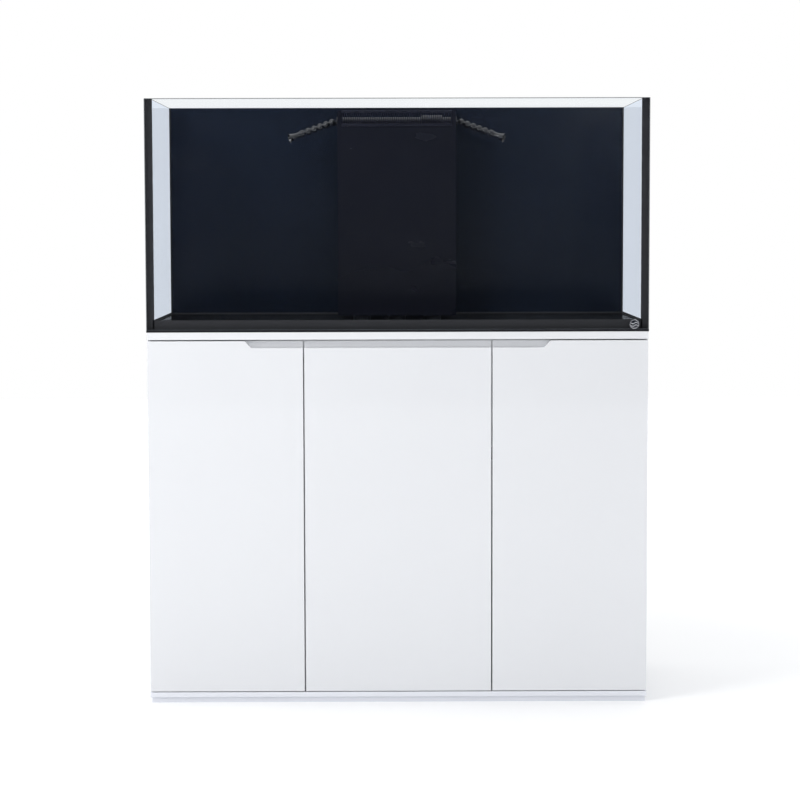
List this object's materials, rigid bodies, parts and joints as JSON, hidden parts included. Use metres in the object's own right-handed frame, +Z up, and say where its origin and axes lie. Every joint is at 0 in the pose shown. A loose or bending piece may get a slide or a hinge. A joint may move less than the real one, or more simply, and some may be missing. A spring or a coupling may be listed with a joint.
{
  "type": "aquarium on stand",
  "caption": "Rimless glass tank with a rear weir box and return nozzles on a three-door cabinet that holds a glass sump, filter sock and return pump.",
  "frame": {"origin": "on the floor, under the middle of the cabinet", "axes": "+X to the viewer's right, +Y to the back (the doors face -Y), +Z up"},
  "size_m": [1.2, 0.5005, 1.45],
  "materials": {
    "gloss_white_board": "white high-gloss lacquered board",
    "satin_white_board": "white satin melamine board",
    "plinth_grey": "light grey satin laminate",
    "clear_glass": "polished low-iron glass",
    "black_glass": "gloss black back-painted glass",
    "black_acrylic": "gloss black acrylic",
    "black_plastic": "moulded black plastic",
    "black_silicone": "black aquarium silicone",
    "mat_foam": "closed-cell black foam",
    "grey_pipe": "dark grey rigid pipe",
    "white_plastic": "moulded white plastic",
    "sump_glass": "float glass",
    "felt": "needled white felt",
    "nickel_steel": "nickel-plated steel",
    "screw_steel": "zinc-plated screw",
    "pump_blue": "black moulded pump housing",
    "grey_rubber": "soft rubber",
    "clear_bumper": "clear soft bumper",
    "badge_plate": "printed plaque",
    "red_lever": "red moulded lever"
  },
  "bodies": {
    "cabinet": {"back_panel": "satin_white_board", "back_panel_screws": "screw_steel", "base_board": "gloss_white_board", "bulkhead_nuts": "black_plastic", "bulkheads": "black_plastic", "corner_silicone": "black_silicone", "drain_pipes": "grey_pipe", "drain_valve_body": "grey_pipe", "floor_silicone": "black_silicone", "foam_mat": "mat_foam", "front_rails": "satin_white_board", "hinge_arms": "nickel_steel", "left_side_panel": "gloss_white_board", "nozzle_flanges": "black_plastic", "partition_panel": "satin_white_board", "pipe_strainers": "black_plastic", "plinth_frame": "plinth_grey", "pump_feet": "grey_rubber", "pump_intake": "black_plastic", "pump_motor": "pump_blue", "pump_volute": "pump_blue", "return_manifold": "grey_pipe", "return_pipe": "grey_pipe", "return_union": "grey_pipe", "right_side_panel": "gloss_white_board", "sock_tray": "white_plastic", "sump_baffles": "sump_glass", "sump_base_pane": "sump_glass", "sump_end_panes": "sump_glass", "sump_long_panes": "sump_glass", "tank_badge": "badge_plate", "tank_base_pane": "clear_glass", "tank_front_pane": "clear_glass", "tank_left_pane": "clear_glass", "tank_rear_pane": "black_glass", "tank_right_pane": "clear_glass", "top_board": "gloss_white_board", "weir_front_panel": "black_acrylic", "weir_side_panels": "black_acrylic"},
    "left_door": {"left_door": "gloss_white_board", "left_door_bumpers": "clear_bumper", "left_door_hinge_cups": "nickel_steel"},
    "left_door_cranks": {"left_door_hinge_cranks": "nickel_steel"},
    "centre_door": {"centre_door": "gloss_white_board", "centre_door_bumpers": "clear_bumper", "centre_door_hinge_cups": "nickel_steel"},
    "centre_door_cranks": {"centre_door_hinge_cranks": "nickel_steel"},
    "right_door": {"right_door": "gloss_white_board", "right_door_bumpers": "clear_bumper", "right_door_hinge_cups": "nickel_steel"},
    "right_door_cranks": {"right_door_hinge_cranks": "nickel_steel"},
    "weir_comb": {"weir_comb": "black_plastic"},
    "drain_valve_lever": {"drain_valve_ball": "white_plastic", "drain_valve_handle": "red_lever"},
    "filter_sock": {"sock_collar": "white_plastic", "filter_sock": "felt"},
    "left_nozzle_chain": {"left_nozzle_segments": "black_plastic"},
    "left_nozzle_tip": {"left_nozzle_mouth": "black_plastic"},
    "right_nozzle_chain": {"right_nozzle_segments": "black_plastic"},
    "right_nozzle_tip": {"right_nozzle_mouth": "black_plastic"}
  },
  "joints": [
    {"name": "left_door_swing", "type": "hinge", "parent": "left_door_cranks", "child": "left_door", "pos_m": [-0.5875, -0.2365, 0.4505], "axis": [0, 0, -1], "range_deg": [0, 150]},
    {"name": "centre_door_swing", "type": "hinge", "parent": "centre_door_cranks", "child": "centre_door", "pos_m": [-0.2125, -0.2365, 0.4505], "axis": [0, 0, -1], "range_deg": [0, 150]},
    {"name": "right_door_swing", "type": "hinge", "parent": "right_door_cranks", "child": "right_door", "pos_m": [0.5875, -0.2365, 0.4505], "axis": [0, 0, 1], "range_deg": [0, 150]},
    {"name": "comb_lift", "type": "slide", "parent": "cabinet", "child": "weir_comb", "axis": [0, 0, 1], "range_m": [0, 0.06]},
    {"name": "sock_lift", "type": "slide", "parent": "cabinet", "child": "filter_sock", "axis": [0, 0, 1], "range_m": [0, 0.26]},
    {"name": "valve_turn", "type": "hinge", "parent": "cabinet", "child": "drain_valve_lever", "pos_m": [-0.09, 0.13, 0.64], "axis": [0, 1, 0], "range_deg": [0, 90]},
    {"name": "left_nozzle_swivel", "type": "hinge", "parent": "cabinet", "child": "left_nozzle_chain", "pos_m": [-0.163, 0.165, 1.409], "axis": [1, 0, 0], "range_deg": [-50, 50]},
    {"name": "left_nozzle_tilt", "type": "hinge", "parent": "left_nozzle_chain", "child": "left_nozzle_tip", "pos_m": [-0.23808, 0.13716, 1.38048], "axis": [-0.3476, 0.9376, 0], "range_deg": [-25, 25]},
    {"name": "right_nozzle_swivel", "type": "hinge", "parent": "cabinet", "child": "right_nozzle_chain", "pos_m": [0.163, 0.165, 1.409], "axis": [1, 0, 0], "range_deg": [-50, 50]},
    {"name": "right_nozzle_tilt", "type": "hinge", "parent": "right_nozzle_chain", "child": "right_nozzle_tip", "pos_m": [0.23808, 0.13716, 1.38048], "axis": [-0.3476, -0.9376, 0], "range_deg": [-25, 25]},
    {"name": "left_crank_turn", "type": "hinge", "parent": "cabinet", "child": "left_door_cranks", "pos_m": [-0.5685, -0.223, 0.4505], "axis": [0, 0, 1], "range_deg": [0, 50]},
    {"name": "centre_crank_turn", "type": "hinge", "parent": "cabinet", "child": "centre_door_cranks", "pos_m": [-0.1935, -0.223, 0.4505], "axis": [0, 0, 1], "range_deg": [0, 50]},
    {"name": "right_crank_turn", "type": "hinge", "parent": "cabinet", "child": "right_door_cranks", "pos_m": [0.5685, -0.223, 0.4505], "axis": [0, 0, -1], "range_deg": [0, 50]}
  ],
  "couplings": [
    {"joint": "left_crank_turn", "follows": "left_door_swing", "ratio": 0.33333},
    {"joint": "centre_crank_turn", "follows": "centre_door_swing", "ratio": 0.33333},
    {"joint": "right_crank_turn", "follows": "right_door_swing", "ratio": 0.33333}
  ]
}
